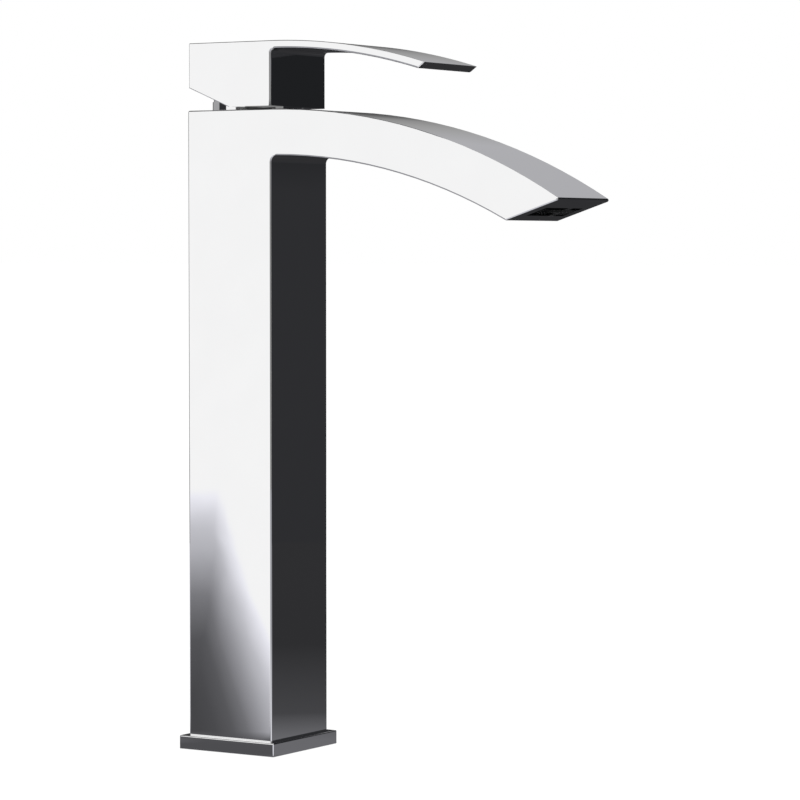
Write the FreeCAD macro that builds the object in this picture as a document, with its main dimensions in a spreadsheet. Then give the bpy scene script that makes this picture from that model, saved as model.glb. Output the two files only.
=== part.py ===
"""Tall single-lever basin faucet: square column, curved flat spout, block handle with a blade lever.

Frame: origin on the deck at the middle of the base, +Z up, spout towards -Y, hot side at -X.
Lengths are millimetres and angles are degrees.
"""
import FreeCAD, Part
import math
import os
import re

import Sketcher

# Driving sizes
SIZES = {
    # Column and spout
    "body_height": 287.4,
    "column_wall": 3.45,
    "shell_wall": 3.0,
    "cavity_corner": 3.0,
    "edge_round": 0.8,
    "spout_arc_radius": 282.0,
    "spout_thickness": 20.6,
    "spout_reach": 169.2,
    "spout_wall": 3.0,
    "spout_root_round": 3.0,
    "outlet_tilt": 18.2,
    # Outlet recess in the sloping end of the spout
    "opening_start": 10.8,
    "opening_width": 10.4,
    "opening_length": 31.6,
    "recess_depth": 8.0,
    "window_depth": 2.0,
    "outlet_ledge": 1.5,
    "outlet_seal_thickness": 1.0,
    "frame_depth": 5.0,
    "frame_wall": 1.2,
    "frame_lip": 0.8,
    "frame_lip_depth": 1.0,
    "frame_clearance": 0.1,
    "straightener_rib": 0.6,
    "straightener_columns": 10,
    "straightener_rows": 3,
    # Base
    "flange_overhang": 3.2,
    "flange_thickness": 6.2,
    "flange_corner": 0.6,
    "flange_top_round": 0.5,
    "socket_depth": 2.0,
    "socket_clearance": 0.1,
    "gasket_margin": 3.5,
    "gasket_width": 3.0,
    "gasket_land": 2.0,
    "gasket_thickness": 2.0,
    # Foot block with its inlets, stud hole and corner screws
    "foot_web": 3.0,
    "foot_clearance": 0.1,
    "inlet_gap": 2.4,
    "inlet_forward": 5.5,
    "inlet_thread_radius": 4.5,
    "inlet_thread_depth": 11.0,
    "stud_hole_radius": 3.4,
    "stud_hole_depth": 14.0,
    "stud_setback": 8.5,
    "boss_side": 8.0,
    "boss_height": 11.0,
    "foot_screw_radius": 2.0,
    "foot_screw_head_radius": 3.2,
    "foot_screw_head_height": 3.0,
    "foot_screw_sinking": 3.6,
    "foot_screw_engagement": 8.0,
    "foot_screw_drive": 1.5,
    "screw_clearance": 0.2,
    # Riser tubes
    "riser_radius": 5.0,
    "riser_wall": 1.0,
    "riser_clearance": 0.05,
    "riser_socket_depth": 6.0,
    "riser_seal_width": 1.3,
    "riser_seal_height": 1.8,
    # Cartridge seat in the column head
    "cartridge_clearance": 0.15,
    "nut_depth": 5.5,
    "thread_clearance": 0.05,
    "port_radius": 3.0,
    "mixed_port_radius": 3.5,
    "mixed_port_setback": 7.5,
    "chamber_cover": 5.0,
    "chamber_height": 4.0,
    "chamber_web": 1.5,
    "corridor_width": 6.4,
    "duct_radius": 2.5,
    "duct_wall": 1.9,
    "link_height": 4.0,
    "spout_root_wall": 1.6,
    "peg_radius": 2.0,
    "peg_length": 3.0,
    "peg_spacing": 22.0,
    "peg_setback": 5.0,
    "peg_clearance": 0.1,
    # Cartridge
    "cartridge_diameter": 35.0,
    "cartridge_base_height": 8.0,
    "port_seal_width": 1.6,
    "port_seal_height": 1.5,
    "housing_wall": 2.0,
    "disc_clearance": 0.1,
    "disc_gap": 0.05,
    "disc_margin": 0.8,
    "fixed_disc_height": 4.5,
    "moving_disc_height": 4.5,
    "mixing_depth": 3.0,
    "carrier_key_radius": 1.5,
    "carrier_key_height": 1.2,
    "carrier_disc_height": 3.0,
    "carrier_room": 4.2,
    "post_wall": 1.2,
    "ball_radius": 3.0,
    "ball_clearance": 0.3,
    "ball_drop": 0.6,
    "socket_lip": 1.6,
    "lid_thickness": 2.0,
    "neck_wall": 2.0,
    "neck_height": 11.0,
    "turret_lap": 3.5,
    "turret_clearance": 0.08,
    "turret_gap": 0.05,
    "turret_flange_margin": 0.3,
    "turret_flange_thickness": 2.2,
    "turret_cap": 3.0,
    "post_clearance": 0.3,
    "spindle_side_gap": 0.2,
    "spindle_swing": 2.6,
    "pin_height": 4.0,
    "pin_radius": 1.5,
    "pin_clearance": 0.05,
    "pin_inset": 0.5,
    # Nut, limit ring and cover ring
    "nut_lap": 1.5,
    "nut_head_inset": 0.1,
    "nut_head_height": 3.5,
    "nut_bore_clearance": 0.3,
    "nut_notch_width": 4.0,
    "nut_notch_depth": 1.0,
    "nut_notches": 6,
    "seal_groove_depth": 1.0,
    "seal_groove_rise": 1.7,
    "limit_ring_inset": 1.1,
    "limit_ring_height": 2.0,
    "limit_tab_width": 3.0,
    "limit_tab_height": 1.0,
    "cover_clearance": 0.4,
    "cover_wall": 1.8,
    "cover_step": 0.5,
    "cover_band_height": 4.0,
    "cover_height": 7.6,
    "cover_lip_width": 1.2,
    "cover_lip_height": 1.2,
    # Spindle and its adapter
    "lift_angle": 22.0,
    "spindle_width": 8.0,
    "spindle_arm": 8.5,
    "spindle_neck_radius": 2.2,
    "spindle_hub_drop": 4.0,
    "spindle_top_gap": 0.5,
    "adapter_wall": 1.5,
    "adapter_clearance": 0.05,
    # Handle
    "handle_gap": 1.4,
    "handle_height": 28.7,
    "handle_wall": 1.45,
    "handle_clearance": 0.55,
    "handle_roof": 4.0,
    "handle_edge_round": 0.5,
    "relief_start": 0.9,
    "relief_margin": 0.3,
    "boss_wall": 1.15,
    "boss_clearance": 5.0,
    "boss_roof": 5.0,
    "lever_arc_radius": 276.0,
    "lever_thickness": 3.55,
    "lever_reach": 102.2,
    "lever_cut_angle": 35.0,
    "lever_root_round": 2.0,
    "lever_under_round": 1.0,
    "set_screw_radius": 2.5,
    "set_screw_length": 4.6,
    "set_screw_drive": 1.25,
    "set_screw_drive_depth": 2.0,
    "access_radius": 3.2,
    "cap_inner_length": 1.0,
    # Overrun that carries every cut clear of the face that it starts or ends on
    "overrun": 1.0,
}

# Places and sizes that follow from the driving sizes, each written with names listed above it
PLACES = {
    "cartridge_radius": "cartridge_diameter / 2",
    "bore_radius": "cartridge_radius + cartridge_clearance",
    "nut_radius": "cartridge_radius + nut_lap",
    "counterbore_radius": "nut_radius + thread_clearance",
    "half_column": "counterbore_radius + column_wall",
    "column_side": "2 * half_column",
    "column_base": "flange_thickness - socket_depth",
    "cavity_half": "half_column - shell_wall",
    "socket_half": "half_column + socket_clearance",
    "half_flange": "half_column + flange_overhang",
    "gasket_outer": "half_flange - gasket_margin",
    "gasket_inner": "gasket_outer - gasket_width",
    "hose_passage_radius": "gasket_inner - gasket_land",
    "foot_half": "cavity_half - foot_clearance",
    "foot_height": "inlet_thread_depth + foot_web + riser_socket_depth",
    "foot_top": "column_base + foot_height",
    "boss_top": "foot_top + boss_height",
    "boss_edge": "cavity_half - boss_side",
    "foot_screw_place": "cavity_half - boss_side / 2",
    "foot_screw_seat": "column_base + foot_screw_sinking",
    "foot_screw_top": "foot_top + foot_screw_engagement",
    "riser_seal_radius": "riser_radius + riser_seal_width",
    "inlet_x": "riser_seal_radius + inlet_gap / 2",
    "shoulder_z": "body_height - nut_depth",
    "lid_bottom": "shoulder_z - lid_thickness",
    "turret_flange_top": "lid_bottom - turret_gap",
    "turret_bottom": "turret_flange_top - turret_flange_thickness",
    "moving_top": "turret_bottom - carrier_room - carrier_disc_height",
    "moving_bottom": "moving_top - moving_disc_height",
    "fixed_top": "moving_bottom - disc_gap",
    "base_top": "fixed_top - fixed_disc_height",
    "seat_z": "base_top - cartridge_base_height",
    "seat_floor": "chamber_cover + chamber_height + chamber_web + riser_socket_depth",
    "floor_bottom": "seat_z - seat_floor",
    "riser_low": "foot_top - riser_socket_depth",
    "riser_high": "floor_bottom + riser_socket_depth",
    "riser_socket_radius": "riser_radius + riser_clearance",
    "chamber_roof": "seat_z - chamber_cover",
    "chamber_low": "chamber_roof - chamber_height",
    "duct_place": "(bore_radius + duct_wall + duct_radius) / sqrt(2)",
    "duct_near": "duct_place - duct_radius",
    "duct_far": "duct_place + duct_radius",
    "outlet_angle": "outlet_tilt * 1 deg",
    "arc_centre_z": "body_height - spout_arc_radius",
    "underside_radius": "spout_arc_radius - spout_thickness",
    "tip_angle": "asin((spout_reach - half_column) / spout_arc_radius)",
    "tip_z": "arc_centre_z + spout_arc_radius * cos(tip_angle)",
    "face_distance": "spout_arc_radius * cos(tip_angle + outlet_angle)",
    "heel_angle": "acos(face_distance / underside_radius) - outlet_angle",
    "heel_y": "-half_column - underside_radius * sin(heel_angle)",
    "heel_z": "arc_centre_z + underside_radius * cos(heel_angle)",
    "duct_top_radius": "spout_arc_radius - spout_wall",
    "duct_low_radius": "underside_radius + spout_wall",
    "duct_end_distance": "face_distance + recess_depth + window_depth",
    "duct_top_angle": "acos(duct_end_distance / duct_top_radius) - outlet_angle",
    "duct_low_angle": "acos(duct_end_distance / duct_low_radius) - outlet_angle",
    "duct_root": "counterbore_radius + spout_root_wall",
    "duct_root_angle": "asin((half_column - duct_root) / duct_low_radius)",
    "duct_root_top_angle": "asin((half_column - duct_root) / duct_top_radius)",
    "duct_floor_z": "body_height - spout_thickness + spout_wall",
    "outlet_middle": "opening_start + opening_width / 2",
    "outlet_y": "outlet_middle * cos(outlet_angle) - spout_reach",
    "outlet_z": "tip_z - outlet_middle * sin(outlet_angle)",
    "frame_half_length": "opening_length / 2 - frame_clearance",
    "frame_half_width": "opening_width / 2 - frame_clearance",
    "frame_room_half_length": "frame_half_length - frame_wall",
    "frame_room_half_width": "frame_half_width - frame_wall",
    "window_half_length": "opening_length / 2 - outlet_ledge",
    "window_half_width": "opening_width / 2 - outlet_ledge",
    "outlet_seal_start": "recess_depth - outlet_seal_thickness",
    "frame_start": "outlet_seal_start - frame_depth",
    "straightener_half_length": "frame_room_half_length - frame_clearance",
    "straightener_half_width": "frame_room_half_width - frame_clearance",
    "straightener_start": "frame_start + frame_lip_depth",
    "straightener_depth": "frame_depth - frame_lip_depth",
    "cell_pitch_x": "(2 * straightener_half_length - straightener_rib) / straightener_columns",
    "cell_pitch_y": "(2 * straightener_half_width - straightener_rib) / straightener_rows",
    "housing_inner": "cartridge_radius - housing_wall",
    "fixed_disc_radius": "housing_inner - disc_clearance",
    "pin_z": "body_height + pin_height",
    "ball_z": "pin_z - spindle_arm",
    "slide_travel": "spindle_arm * sin(lift_angle * 1 deg)",
    "moving_radius": "housing_inner - slide_travel - disc_margin",
    "carrier_top": "ball_z + socket_lip",
    "ball_room": "ball_radius + ball_clearance",
    "ball_floor": "ball_z - ball_radius - ball_drop",
    "post_half": "ball_room + post_wall",
    "turret_radius": "housing_inner - turret_lap",
    "neck_inner": "turret_radius + turret_clearance",
    "neck_outer": "neck_inner + neck_wall",
    "neck_top": "shoulder_z + neck_height",
    "turret_flange_radius": "housing_inner - turret_flange_margin",
    "turret_top": "pin_z + turret_cap",
    "post_room_top": "carrier_top + post_clearance",
    "post_room_half": "post_half + post_clearance",
    "spindle_room_half": "spindle_width / 2 + spindle_side_gap",
    "swing_room_half": "spindle_width / 2 + spindle_swing",
    "nut_top": "body_height + nut_head_height",
    "nut_bore": "neck_outer + nut_bore_clearance",
    "nut_head_radius": "cartridge_radius - nut_head_inset",
    "cover_bore": "nut_head_radius + cover_clearance",
    "cover_seal_radius": "(seal_groove_depth + cover_clearance) / 2",
    "cover_seal_z": "body_height + seal_groove_rise",
    "cover_upper": "cover_bore + cover_wall",
    "cover_lower": "cover_upper + cover_step",
    "cover_band_top": "body_height + cover_band_height",
    "cover_top": "body_height + cover_height",
    "cover_lip": "cover_bore - cover_lip_width",
    "limit_ring_outer": "nut_head_radius - limit_ring_inset",
    "limit_ring_width": "limit_ring_outer - neck_outer",
    "handle_cavity": "cover_lower + handle_clearance",
    "half_handle": "handle_cavity + handle_wall",
    "handle_base": "body_height + handle_gap",
    "handle_top": "handle_base + handle_height",
    "relief_z": "handle_base + (half_handle - relief_start) * tan((lift_angle + relief_margin) * 1 deg)",
    "cavity_roof": "handle_top - handle_roof",
    "boss_bottom": "turret_top + boss_clearance",
    "adapter_top": "handle_top - boss_roof",
    "adapter_half": "spindle_width / 2 + adapter_wall",
    "boss_radius": "(adapter_half + adapter_clearance) * sqrt(2) + boss_wall",
    "spindle_top": "adapter_top - spindle_top_gap",
    "screw_z": "(boss_bottom + adapter_top) / 2",
    "lever_cut": "lever_cut_angle * 1 deg",
    "lever_centre_z": "handle_top - lever_arc_radius",
    "lever_low_radius": "lever_arc_radius - lever_thickness",
    "lever_tip_angle": "asin((lever_reach - half_handle) / lever_arc_radius)",
    "lever_tip_z": "lever_centre_z + lever_arc_radius * cos(lever_tip_angle)",
    "lever_face_distance": "lever_arc_radius * cos(lever_tip_angle + lever_cut)",
    "lever_heel_angle": "acos(lever_face_distance / lever_low_radius) - lever_cut",
    "lever_heel_y": "-half_handle - lever_low_radius * sin(lever_heel_angle)",
    "lever_heel_z": "lever_centre_z + lever_low_radius * cos(lever_heel_angle)",
}

# Corners of the mixing hollow in the moving disc, as shares of its radius: half of a mirrored outline
MIXING_SHARES = [(0.74, -0.19), (0.74, 0.39), (0.39, 0.83)]

# Place of the two keys between the carrier and the moving disc, as shares of the disc's radius
KEY_SHARES = (0.5, -0.6)

# Inner and outer side of the stop tab, as shares of the limit ring's width
TAB_SHARES = (0.25, 0.75)

# How near two places lie when they count as the same place
SAME_PLACE = 1e-4

doc = FreeCAD.newDocument("tall_basin_faucet")
subparts = []


def full_names(expression):
    """Put the sheet's name before each size or place in an expression."""
    def owned(match):
        word = match.group()
        if word in SIZES:
            return "Sizes." + word
        if word in PLACES:
            return "Places." + word
        return word
    return re.sub(r"[a-z_][a-z_0-9]*", owned, expression)


def make_sheets():
    """The sheet of driving sizes, and the sheet of places worked out from it."""
    sizes = doc.addObject("Spreadsheet::Sheet", "Sizes")
    for row, (alias, number) in enumerate(SIZES.items(), start=1):
        sizes.set(f"A{row}", alias)
        sizes.set(f"B{row}", str(number))
        sizes.setAlias(f"B{row}", alias)
    doc.recompute()
    places = doc.addObject("Spreadsheet::Sheet", "Places")
    for row, (alias, formula) in enumerate(PLACES.items(), start=1):
        places.set(f"A{row}", alias)
        places.set(f"B{row}", "=" + full_names(formula).replace("Places.", ""))
        places.setAlias(f"B{row}", alias)
    doc.recompute()
    return sizes


sheet = make_sheets()


def measure(expression):
    """The number that an expression of sizes and places comes to."""
    result = sheet.evalExpression(full_names(expression))
    return float(getattr(result, "Value", result))


def bind(thing, **expressions):
    """Tie properties to sizes; a double underscore in a name stands for the dot of a sub-property."""
    for name, expression in expressions.items():
        thing.setExpression(name.replace("__", "."), full_names(expression))


def keep(thing):
    """Count an object as a finished sub-part, whose label names its file."""
    subparts.append(thing)
    return thing


# Sketches

def new_sketch(body, role, name, offset="0"):
    """A sketch on one of the body's own origin planes, moved along that plane's normal."""
    plane = next(item for item in body.Origin.OriginFeatures if item.Role == role)
    sketch = body.newObject("Sketcher::SketchObject", name)
    sketch.AttachmentSupport = [(plane, "")]
    sketch.MapMode = "FlatFace"
    bind(sketch, AttachmentOffset__Base__z=offset)
    return sketch


def place_point(sketch, geometry, point, x, y):
    """Tie a point of a sketch to a place given by two expressions."""
    axes = (("DistanceX", x, -2), ("DistanceY", y, -1))
    for kind, expression, axis in axes:
        if expression == "0":
            sketch.addConstraint(Sketcher.Constraint("PointOnObject", geometry, point, axis))
            continue
        rule = Sketcher.Constraint(kind, -1, 1, geometry, point, measure(expression))
        index = sketch.addConstraint(rule)
        sketch.setExpression(f"Constraints[{index}]", full_names(expression))


def set_radius(sketch, geometry, expression):
    index = sketch.addConstraint(Sketcher.Constraint("Radius", geometry, measure(expression)))
    sketch.setExpression(f"Constraints[{index}]", full_names(expression))


def arc_between(start, end, radius, left):
    """A circular arc from start to end whose centre lies to the left or right of the way along it."""
    chord = end - start
    across = FreeCAD.Vector(-chord.y, chord.x, 0).normalize()
    rise = math.sqrt(max(radius ** 2 - (chord.Length / 2) ** 2, 0))
    centre = (start + end) / 2 + across * (rise if left else -rise)
    first, last = (start, end) if left else (end, start)
    angles = [math.atan2(point.y - centre.y, point.x - centre.x) for point in (first, last)]
    if angles[1] < angles[0]:
        angles[1] += 2 * math.pi
    circle = Part.Circle(centre, FreeCAD.Vector(0, 0, 1), radius)
    return Part.ArcOfCircle(circle, *angles)


def draw(sketch, corners, arcs=None):
    """A closed outline through corners; arcs maps a corner's index to (radius, centre on the left)."""
    arcs = arcs or {}
    points = [FreeCAD.Vector(measure(x), measure(y), 0) for x, y in corners]
    count = len(points)
    edges = []
    for index, start in enumerate(points):
        end = points[(index + 1) % count]
        if index in arcs:
            radius, left = arcs[index]
            geometry = sketch.addGeometry(arc_between(start, end, measure(radius), left))
            edges.append((geometry, 1, 2) if left else (geometry, 2, 1))
        else:
            edges.append((sketch.addGeometry(Part.LineSegment(start, end)), 1, 2))
    for index, (geometry, _, last) in enumerate(edges):
        following, following_first, _ = edges[(index + 1) % count]
        rule = Sketcher.Constraint("Coincident", geometry, last, following, following_first)
        sketch.addConstraint(rule)
    for (geometry, first, _), (x, y) in zip(edges, corners):
        place_point(sketch, geometry, first, x, y)
    for index, (radius, _) in arcs.items():
        set_radius(sketch, edges[index][0], radius)
    return sketch


def draw_box(sketch, half_x, half_y):
    """A rectangle about the sketch's origin."""
    return draw(sketch, [(f"-({half_x})", f"-({half_y})"), (half_x, f"-({half_y})"),
                         (half_x, half_y), (f"-({half_x})", half_y)])


def draw_rounded(sketch, half, corner):
    """A square about the sketch's origin with round corners."""
    inner = f"{half} - {corner}"
    corners = [(f"-({inner})", f"-({half})"), (inner, f"-({half})"),
               (half, f"-({inner})"), (half, inner),
               (inner, half), (f"-({inner})", half),
               (f"-({half})", inner), (f"-({half})", f"-({inner})")]
    return draw(sketch, corners, {index: (corner, True) for index in (1, 3, 5, 7)})


def draw_circle(sketch, x, y, radius):
    centre = FreeCAD.Vector(measure(x), measure(y), 0)
    circle = Part.Circle(centre, FreeCAD.Vector(0, 0, 1), measure(radius))
    geometry = sketch.addGeometry(circle)
    place_point(sketch, geometry, 3, x, y)
    set_radius(sketch, geometry, radius)
    return sketch


# Features

def new_body(label):
    return keep(doc.addObject("PartDesign::Body", label))


def pad(body, sketch, length, both_ways=False):
    feature = body.newObject("PartDesign::Pad", "Pad")
    feature.Profile = sketch
    feature.SideType = "Symmetric" if both_ways else "One side"
    bind(feature, Length=length)
    doc.recompute()
    return feature


def checked_cut(body, feature, volume_before):
    """Make sure that a cut took material away."""
    doc.recompute()
    if body.Shape.Volume >= volume_before:
        raise RuntimeError(f"{body.Label}: {feature.Label} cuts nothing")
    return feature


def pocket(body, sketch, length, along=True, both_ways=False):
    """Cut a sketch's outline out, along the sketch's normal or against it."""
    before = body.Shape.Volume
    feature = body.newObject("PartDesign::Pocket", "Pocket")
    feature.Profile = sketch
    feature.SideType = "Symmetric" if both_ways else "One side"
    feature.Reversed = along
    bind(feature, Length=length)
    return checked_cut(body, feature, before)


def turn(body, sketch, kind="PartDesign::Revolution"):
    """Turn a sketch all the way round the Z axis, as material or as a cut."""
    before = body.Shape.Volume if kind == "PartDesign::Groove" else None
    feature = body.newObject(kind, kind.split("::")[1])
    feature.Profile = sketch
    feature.ReferenceAxis = (sketch, ["V_Axis"])
    feature.Angle = 360
    if before is None:
        doc.recompute()
        return feature
    return checked_cut(body, feature, before)


def turned_body(label, profile, arcs=None):
    """A body turned from a profile of (radius, height) corners."""
    body = new_body(label)
    sketch = draw(new_sketch(body, "XZ_Plane", "Profile"), profile, arcs)
    turn(body, sketch)
    return body


def same(first, second):
    return abs(first - second) < SAME_PLACE


def across_edge(edge, y, z):
    """Whether an edge runs along X at a place in the YZ plane."""
    ends = [vertex.Point for vertex in edge.Vertexes]
    level = all(same(point.y, y) and same(point.z, z) for point in ends)
    return level and len(ends) == 2 and not same(ends[0].x, ends[1].x)


def side_edge(edge, half_width, above):
    """Whether an edge lies in one of the two side faces, and not wholly at the given height."""
    box = edge.BoundBox
    inside = same(box.XMin, box.XMax) and same(abs(box.XMin), half_width)
    return inside and box.ZMax > above + SAME_PLACE


def round_edges(body, radius, wanted):
    """Round the edges that a test picks out of the body as it stands."""
    base = body.Tip
    names = [f"Edge{number}" for number, edge in enumerate(base.Shape.Edges, start=1) if wanted(edge)]
    feature = body.newObject("PartDesign::Fillet", "Fillet")
    feature.Base = (base, names)
    bind(feature, Radius=radius)
    doc.recompute()
    return feature


# Part primitives, which run along Z until they are turned to another axis

AXIS_TURNS = {
    "X": FreeCAD.Rotation(FreeCAD.Vector(0, 1, 0), 90),
    "Y": FreeCAD.Rotation(FreeCAD.Vector(-1, 0, 0), 90),
    "Z": FreeCAD.Rotation(),
}


def cylinder(label, radius, height, x="0", y="0", z="0", axis="Z"):
    """A cylinder that starts at a place and runs along an axis."""
    item = doc.addObject("Part::Cylinder", label)
    item.Placement = FreeCAD.Placement(FreeCAD.Vector(), AXIS_TURNS[axis])
    bind(item, Radius=radius, Height=height,
         Placement__Base__x=x, Placement__Base__y=y, Placement__Base__z=z)
    return item


def prism(label, corner_radius, height, x="0", y="0", z="0", axis="Z"):
    """A hexagonal prism for a drive socket, starting at a place and running along an axis."""
    item = doc.addObject("Part::Prism", label)
    item.Polygon = 6
    item.Placement = FreeCAD.Placement(FreeCAD.Vector(), AXIS_TURNS[axis])
    bind(item, Circumradius=corner_radius, Height=height,
         Placement__Base__x=x, Placement__Base__y=y, Placement__Base__z=z)
    return item


def cut(label, base, tool):
    item = doc.addObject("Part::Cut", label)
    item.Base = base
    item.Tool = tool
    return item


def fuse(label, *items):
    item = doc.addObject("Part::MultiFuse", label)
    item.Shapes = list(items)
    return item


def group(label, items):
    """Separate solids that share one node."""
    item = keep(doc.addObject("Part::Compound", label))
    item.Links = items
    return item


def ring(label, inner, outer, height, x="0", y="0", z="0"):
    """A plain ring between two radii."""
    blank = cylinder(label + "_blank", outer, height, x, y, z)
    hole = cylinder(label + "_hole", inner, f"{height} + 2 * overrun", x, y, f"{z} - overrun")
    return cut(label, blank, hole)


# Column and spout

def spout_end_offset(sketch):
    """Move a sketch into the sloping end face of the spout, at the middle of the outlet."""
    slope = FreeCAD.Rotation(FreeCAD.Vector(-1, 0, 0), measure("outlet_tilt"))
    sketch.AttachmentOffset = FreeCAD.Placement(FreeCAD.Vector(), slope)
    bind(sketch, AttachmentOffset__Base__y="outlet_y", AttachmentOffset__Base__z="outlet_z",
         AttachmentOffset__Rotation__Angle="outlet_tilt")
    return sketch


def shell_outside(body):
    """The square column with the flat spout that curves down from its head."""
    corners = [("half_column", "column_base"), ("half_column", "body_height"),
               ("-half_column", "body_height"), ("-spout_reach", "tip_z"),
               ("heel_y", "heel_z"), ("-half_column", "body_height - spout_thickness"),
               ("-half_column", "column_base")]
    arcs = {2: ("spout_arc_radius", True), 4: ("underside_radius", False)}
    sketch = draw(new_sketch(body, "YZ_Plane", "Outside"), corners, arcs)
    pad(body, sketch, "column_side", both_ways=True)

    half, top = measure("half_column"), measure("body_height")
    root = (-half, measure("body_height - spout_thickness"))
    round_edges(body, "spout_root_round", lambda edge: across_edge(edge, *root))
    base = measure("column_base")
    ends = [(half, top), (-measure("spout_reach"), measure("tip_z")), (measure("heel_y"), measure("heel_z"))]

    def outer_edge(edge):
        return side_edge(edge, half, base) or any(across_edge(edge, *end) for end in ends)
    round_edges(body, "edge_round", outer_edge)


def shell_column_hollow(body):
    """The hollow of the column: foot recess, corner bosses for the foot screws, and the tube space."""
    recess = new_sketch(body, "XY_Plane", "FootRecess", "column_base")
    pocket(body, draw_rounded(recess, "cavity_half", "cavity_corner"), "foot_height")

    cross = []
    for sign_x, sign_y, along_x in ((1, -1, False), (1, 1, True), (-1, 1, False), (-1, -1, True)):
        wide_x = "cavity_half" if sign_x > 0 else "-cavity_half"
        wide_y = "cavity_half" if sign_y > 0 else "-cavity_half"
        near_x = "boss_edge" if sign_x > 0 else "-boss_edge"
        near_y = "boss_edge" if sign_y > 0 else "-boss_edge"
        turn_in = [(near_x, wide_y), (near_x, near_y), (wide_x, near_y)]
        cross += reversed(turn_in) if along_x else turn_in
    between = draw(new_sketch(body, "XY_Plane", "BetweenBosses", "foot_top"), cross)
    pocket(body, between, "boss_height")

    tubes = new_sketch(body, "XY_Plane", "TubeSpace", "boss_top")
    pocket(body, draw_rounded(tubes, "cavity_half", "cavity_corner"), "floor_bottom - boss_top")

    taps = new_sketch(body, "XY_Plane", "ScrewTaps", "foot_top")
    for x in ("foot_screw_place", "-foot_screw_place"):
        for y in ("foot_screw_place", "-foot_screw_place"):
            draw_circle(taps, x, y, "foot_screw_radius")
    pocket(body, taps, "foot_screw_engagement")


def shell_cartridge_seat(body):
    """The bore for the cartridge and its nut, with the ports in the floor of the bore."""
    steps = [("0", "seat_z"), ("bore_radius", "seat_z"), ("bore_radius", "shoulder_z"),
             ("counterbore_radius", "shoulder_z"), ("counterbore_radius", "body_height + overrun"),
             ("0", "body_height + overrun")]
    turn(body, draw(new_sketch(body, "XZ_Plane", "Bore"), steps), "PartDesign::Groove")

    sockets = new_sketch(body, "XY_Plane", "RiserSockets", "floor_bottom")
    seals = new_sketch(body, "XY_Plane", "RiserSeals", "floor_bottom")
    ports = new_sketch(body, "XY_Plane", "InletPorts", "floor_bottom")
    for x in ("inlet_x", "-inlet_x"):
        draw_circle(sockets, x, "-inlet_forward", "riser_socket_radius")
        draw_circle(seals, x, "-inlet_forward", "riser_seal_radius")
        draw_circle(ports, x, "-inlet_forward", "port_radius")
    pocket(body, sockets, "riser_socket_depth")
    pocket(body, seals, "riser_seal_height")
    pocket(body, ports, "seat_floor + overrun")

    mixed = draw_circle(new_sketch(body, "XY_Plane", "MixedPort", "seat_z"), "0", "mixed_port_setback",
                        "mixed_port_radius")
    pocket(body, mixed, "chamber_cover + chamber_height", along=False)

    pegs = new_sketch(body, "XY_Plane", "PegHoles", "seat_z")
    for x in ("peg_spacing / 2", "-peg_spacing / 2"):
        draw_circle(pegs, x, "peg_setback", "peg_radius + peg_clearance")
    pocket(body, pegs, "peg_length + peg_clearance", along=False)


def shell_waterway(body):
    """The way of the mixed water: chamber under the seat, two corner ducts, and the hollow spout."""
    chamber = [("-duct_far", "-duct_far"), ("duct_far", "-duct_far"), ("duct_far", "-duct_near"),
               ("corridor_width / 2", "-duct_near"), ("corridor_width / 2", "mixed_port_setback"),
               ("-corridor_width / 2", "mixed_port_setback"), ("-corridor_width / 2", "-duct_near"),
               ("-duct_far", "-duct_near")]
    pocket(body, draw(new_sketch(body, "XY_Plane", "Chamber", "chamber_low"), chamber), "chamber_height")

    hollow = [("-duct_root", "arc_centre_z + duct_low_radius * cos(duct_root_angle)"),
              ("-duct_root", "arc_centre_z + duct_top_radius * cos(duct_root_top_angle)"),
              ("-half_column - duct_top_radius * sin(duct_top_angle)",
               "arc_centre_z + duct_top_radius * cos(duct_top_angle)"),
              ("-half_column - duct_low_radius * sin(duct_low_angle)",
               "arc_centre_z + duct_low_radius * cos(duct_low_angle)")]
    arcs = {1: ("duct_top_radius", True), 3: ("duct_low_radius", False)}
    spout = draw(new_sketch(body, "YZ_Plane", "SpoutHollow"), hollow, arcs)
    pocket(body, spout, "column_side - 2 * spout_wall", both_ways=True)

    ducts = new_sketch(body, "XY_Plane", "Ducts", "chamber_low")
    links = new_sketch(body, "XY_Plane", "DuctLinks", "duct_floor_z")
    for sign in ("", "-"):
        draw_circle(ducts, f"{sign}duct_place", "-duct_place", "duct_radius")
        reach = "-duct_root - overrun"
        draw(links, [(f"{sign}duct_near", "-duct_place"), (f"{sign}duct_near", reach),
                     (f"{sign}duct_far", reach), (f"{sign}duct_far", "-duct_place")])
    pocket(body, ducts, "duct_floor_z + link_height - chamber_low")
    pocket(body, links, "link_height")

    recess = spout_end_offset(new_sketch(body, "XY_Plane", "OutletRecess"))
    draw_box(recess, "opening_length / 2", "opening_width / 2")
    pocket(body, recess, "recess_depth")
    window = spout_end_offset(new_sketch(body, "XY_Plane", "OutletWindow"))
    draw_box(window, "window_half_length", "window_half_width")
    pocket(body, window, "recess_depth + window_depth + overrun")


def body_shell():
    body = new_body("body_shell")
    shell_outside(body)
    shell_column_hollow(body)
    shell_cartridge_seat(body)
    shell_waterway(body)


# Outlet pieces, drawn flat with the outlet's middle at the origin and the depth along Z

def at_spout_end(body):
    """Put a piece that was drawn flat into the sloping end of the spout."""
    slope = FreeCAD.Rotation(FreeCAD.Vector(-1, 0, 0), measure("outlet_tilt"))
    body.Placement = FreeCAD.Placement(FreeCAD.Vector(), slope)
    bind(body, Placement__Base__y="outlet_y", Placement__Base__z="outlet_z",
         Placement__Rotation__Angle="outlet_tilt")
    doc.recompute()


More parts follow.
